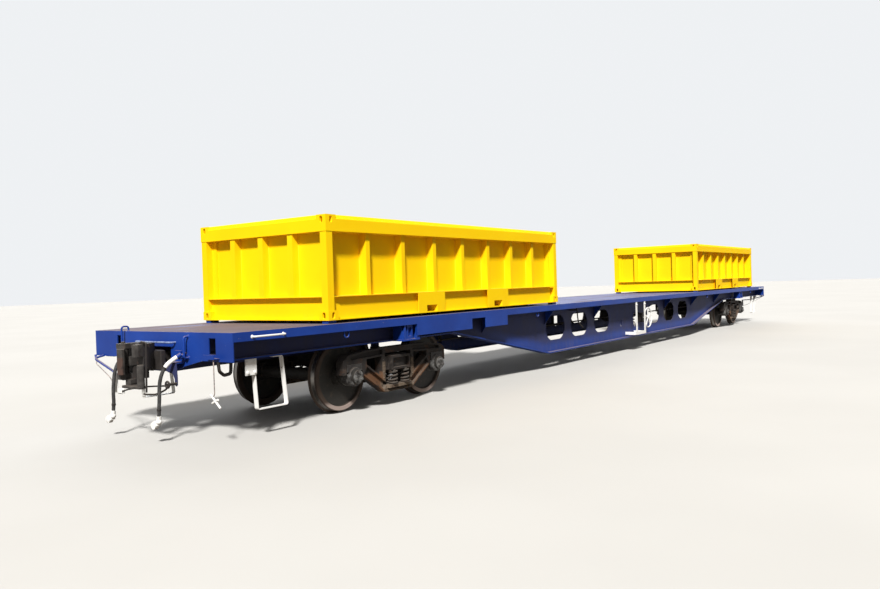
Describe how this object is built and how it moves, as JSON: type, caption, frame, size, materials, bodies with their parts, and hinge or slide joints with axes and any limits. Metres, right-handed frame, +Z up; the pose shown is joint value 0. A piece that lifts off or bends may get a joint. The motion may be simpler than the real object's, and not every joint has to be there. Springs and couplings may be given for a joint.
{
  "type": "bogie container flat wagon with two open bins",
  "caption": "Long blue bogie flat wagon with fish-belly girders, knuckle couplers, hand brake and air hoses, carrying yellow open-top half-height container bins.",
  "frame": {"origin": "the centre of the wagon on the plane that the wheel flanges' lowest points touch", "axes": "+X along the wagon to its far end, +Y to its left side, +Z up; the side with the hand brake is -Y and the end with the hoses is -X"},
  "size_m": [24.23, 2.756, 2.5478],
  "materials": {
    "deck_blue": "weathered blue paint",
    "deck_dust": "blue deck paint under pinkish dust and wear",
    "bin_yellow": "bright yellow paint",
    "bogie_dark": "dark cast steel with brown dust",
    "wheel_steel": "brown rolled steel, worn tread",
    "bearing_steel": "dark grey satin",
    "white_paint": "white paint",
    "hose_rubber": "black rubber hose",
    "gear_dark": "dark grey dusty paint"
  },
  "bodies": {
    "root": {"air_pipes": "gear_dark", "air_reservoir": "gear_dark", "angle_cocks": "gear_dark", "body_bolsters": "deck_blue", "brake_cylinder": "gear_dark", "brake_hose": "hose_rubber", "brake_rods": "gear_dark", "centre_sills": "deck_blue", "container_locks": "gear_dark", "cross_bearers": "deck_blue", "deck_plates": "deck_dust", "edge_channels": "deck_blue", "far_bin_base": "bin_yellow", "far_bin_far_end": "bin_yellow", "far_bin_left_side": "bin_yellow", "far_bin_near_end": "bin_yellow", "far_bin_right_side": "bin_yellow", "far_headstock": "deck_blue", "girder_ends": "deck_blue", "glad_hands": "white_paint", "grab_rails": "white_paint", "hand_brake_frame": "white_paint", "hand_brake_gear": "gear_dark", "hand_brake_wheel": "white_paint", "jacking_brackets": "deck_blue", "lashing_rings": "deck_blue", "main_girders": "deck_blue", "main_hose": "hose_rubber", "near_bin_base": "bin_yellow", "near_bin_far_end": "bin_yellow", "near_bin_left_side": "bin_yellow", "near_bin_near_end": "bin_yellow", "near_bin_right_side": "bin_yellow", "near_headstock": "deck_blue", "outriggers": "deck_blue", "side_skirts": "deck_blue", "sill_steps": "white_paint", "uncoupling_gear": "gear_dark"},
    "near_bogie": {"near_bogie_bearings": "bearing_steel", "near_bogie_bolster": "bogie_dark", "near_bogie_brake_beams": "bogie_dark", "near_bogie_side_frames": "bogie_dark", "near_bogie_springs": "bogie_dark"},
    "near_outer_wheelset": {"near_outer_axle": "wheel_steel", "near_outer_wheels": "wheel_steel"},
    "near_inner_wheelset": {"near_inner_axle": "wheel_steel", "near_inner_wheels": "wheel_steel"},
    "near_coupler_body": {"near_coupler": "bogie_dark"},
    "near_knuckle_body": {"near_knuckle": "bogie_dark"},
    "far_bogie": {"far_bogie_bearings": "bearing_steel", "far_bogie_bolster": "bogie_dark", "far_bogie_brake_beams": "bogie_dark", "far_bogie_side_frames": "bogie_dark", "far_bogie_springs": "bogie_dark"},
    "far_outer_wheelset": {"far_outer_axle": "wheel_steel", "far_outer_wheels": "wheel_steel"},
    "far_inner_wheelset": {"far_inner_axle": "wheel_steel", "far_inner_wheels": "wheel_steel"},
    "far_coupler_body": {"far_coupler": "bogie_dark"},
    "far_knuckle_body": {"far_knuckle": "bogie_dark"}
  },
  "joints": [
    {"name": "near_bogie_swivel", "type": "hinge", "parent": "root", "child": "near_bogie", "pos_m": [-8.62, 0, 0.73], "axis": [0, 0, 1], "range_deg": [-5, 5]},
    {"name": "near_outer_wheels_turn", "type": "hinge", "parent": "near_bogie", "child": "near_outer_wheelset", "pos_m": [-9.515, 0, 0.488], "axis": [0, 1, 0], "continuous": true},
    {"name": "near_inner_wheels_turn", "type": "hinge", "parent": "near_bogie", "child": "near_inner_wheelset", "pos_m": [-7.725, 0, 0.488], "axis": [0, 1, 0], "continuous": true},
    {"name": "near_coupler_swing", "type": "hinge", "parent": "root", "child": "near_coupler_body", "pos_m": [-11.015, 0, 0.903], "axis": [0, 0, 1], "range_deg": [-7, 7]},
    {"name": "near_knuckle_open", "type": "hinge", "parent": "near_coupler_body", "child": "near_knuckle_body", "pos_m": [-12, 0.14, 0.903], "axis": [0, 0, 1], "range_deg": [-50, 0]},
    {"name": "far_bogie_swivel", "type": "hinge", "parent": "root", "child": "far_bogie", "pos_m": [8.62, 0, 0.73], "axis": [0, 0, 1], "range_deg": [-5, 5]},
    {"name": "far_outer_wheels_turn", "type": "hinge", "parent": "far_bogie", "child": "far_outer_wheelset", "pos_m": [9.515, 0, 0.488], "axis": [0, 1, 0], "continuous": true},
    {"name": "far_inner_wheels_turn", "type": "hinge", "parent": "far_bogie", "child": "far_inner_wheelset", "pos_m": [7.725, 0, 0.488], "axis": [0, 1, 0], "continuous": true},
    {"name": "far_coupler_swing", "type": "hinge", "parent": "root", "child": "far_coupler_body", "pos_m": [11.015, 0, 0.903], "axis": [0, 0, 1], "range_deg": [-7, 7]},
    {"name": "far_knuckle_open", "type": "hinge", "parent": "far_coupler_body", "child": "far_knuckle_body", "pos_m": [12, -0.14, 0.903], "axis": [0, 0, 1], "range_deg": [-50, 0]}
  ]
}
